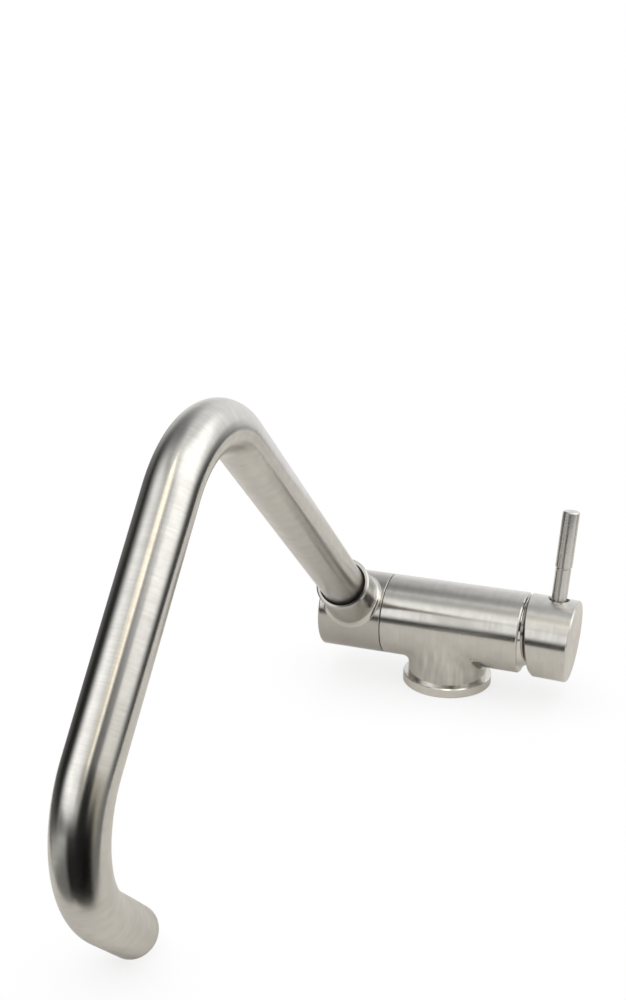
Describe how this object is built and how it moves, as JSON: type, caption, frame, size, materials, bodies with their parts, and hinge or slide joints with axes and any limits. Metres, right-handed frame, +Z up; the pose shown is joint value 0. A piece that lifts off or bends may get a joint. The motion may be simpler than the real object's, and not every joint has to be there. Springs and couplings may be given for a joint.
{
  "type": "folding kitchen faucet",
  "caption": "Brushed steel kitchen tap with a horizontal barrel, a side lever, and a bent tube spout that swivels and folds down on a turning head.",
  "frame": {"origin": "centre of the base ring's underside, on the worktop", "axes": "+X along the barrel towards the lever, -Y towards the person at the sink, +Z up from the worktop"},
  "size_m": [0.1487, 0.3853, 0.2182],
  "materials": {
    "brushed_steel": "satin brushed stainless steel",
    "bright_steel": "fine turned stainless steel",
    "brass": "machined brass",
    "white_plastic": "moulded acetal",
    "dark_plastic": "moulded glass-filled nylon",
    "rubber": "black EPDM rubber",
    "alumina": "lapped alumina ceramic"
  },
  "bodies": {
    "body": {"body_shell": "brushed_steel", "valve_block": "brass", "inlet_block": "brass", "inlet_o_rings": "rubber", "block_screws": "bright_steel", "base_ring": "bright_steel", "base_gasket": "rubber", "swivel_journal": "brass", "journal_o_rings": "rubber", "slide_ring": "dark_plastic", "friction_washers": "bright_steel", "journal_nut": "brass", "cartridge_housing": "white_plastic", "cartridge_seals": "rubber", "ceramic_disc_fixed": "alumina", "cartridge_nut": "brass", "bonnet_dome": "bright_steel"},
    "head": {"swivel_head": "brushed_steel", "head_cap": "brushed_steel", "fold_stop_screw": "bright_steel", "socket_bush": "dark_plastic", "spout_stop_screw": "bright_steel"},
    "spout": {"spout_tube": "brushed_steel", "spout_spigot": "brass", "spout_o_rings": "rubber", "outlet_sleeve": "brass", "aerator_housing": "white_plastic", "aerator_insert": "dark_plastic", "aerator_gasket": "rubber"},
    "mixer": {"cartridge_carrier": "dark_plastic", "lever_pivot_pin": "bright_steel"},
    "disc": {"disc_coupler": "white_plastic", "ceramic_disc_moving": "alumina"},
    "lever": {"cartridge_stem": "bright_steel", "knob_insert": "brass", "knob": "brushed_steel", "lever_rod": "brushed_steel"}
  },
  "joints": [
    {"name": "spout_fold", "type": "hinge", "parent": "body", "child": "head", "pos_m": [-0.0555, 0, 0.0375], "axis": [1, 0, 0], "range_deg": [-49.3, 40.7]},
    {"name": "spout_swivel", "type": "hinge", "parent": "head", "child": "spout", "pos_m": [-0.0555, 0, 0.0375], "axis": [0, -0.7581, 0.6521], "range_deg": [-90, 90]},
    {"name": "mixing_turn", "type": "hinge", "parent": "body", "child": "mixer", "pos_m": [0.036, 0, 0.0375], "axis": [1, 0, 0], "range_deg": [-37.6, 52.4]},
    {"name": "lever_tip", "type": "hinge", "parent": "mixer", "child": "lever", "pos_m": [0.036, 0, 0.0375], "axis": [0, 0.9917, -0.1288], "range_deg": [-1.8, 15.2]},
    {"name": "disc_slide", "type": "slide", "parent": "mixer", "child": "disc", "axis": [0, 0.1288, 0.9917], "range_m": [-0.0006, 0.0035]}
  ],
  "couplings": [
    {"joint": "disc_slide", "follows": "lever_tip", "m_per_rad": 0.012}
  ]
}
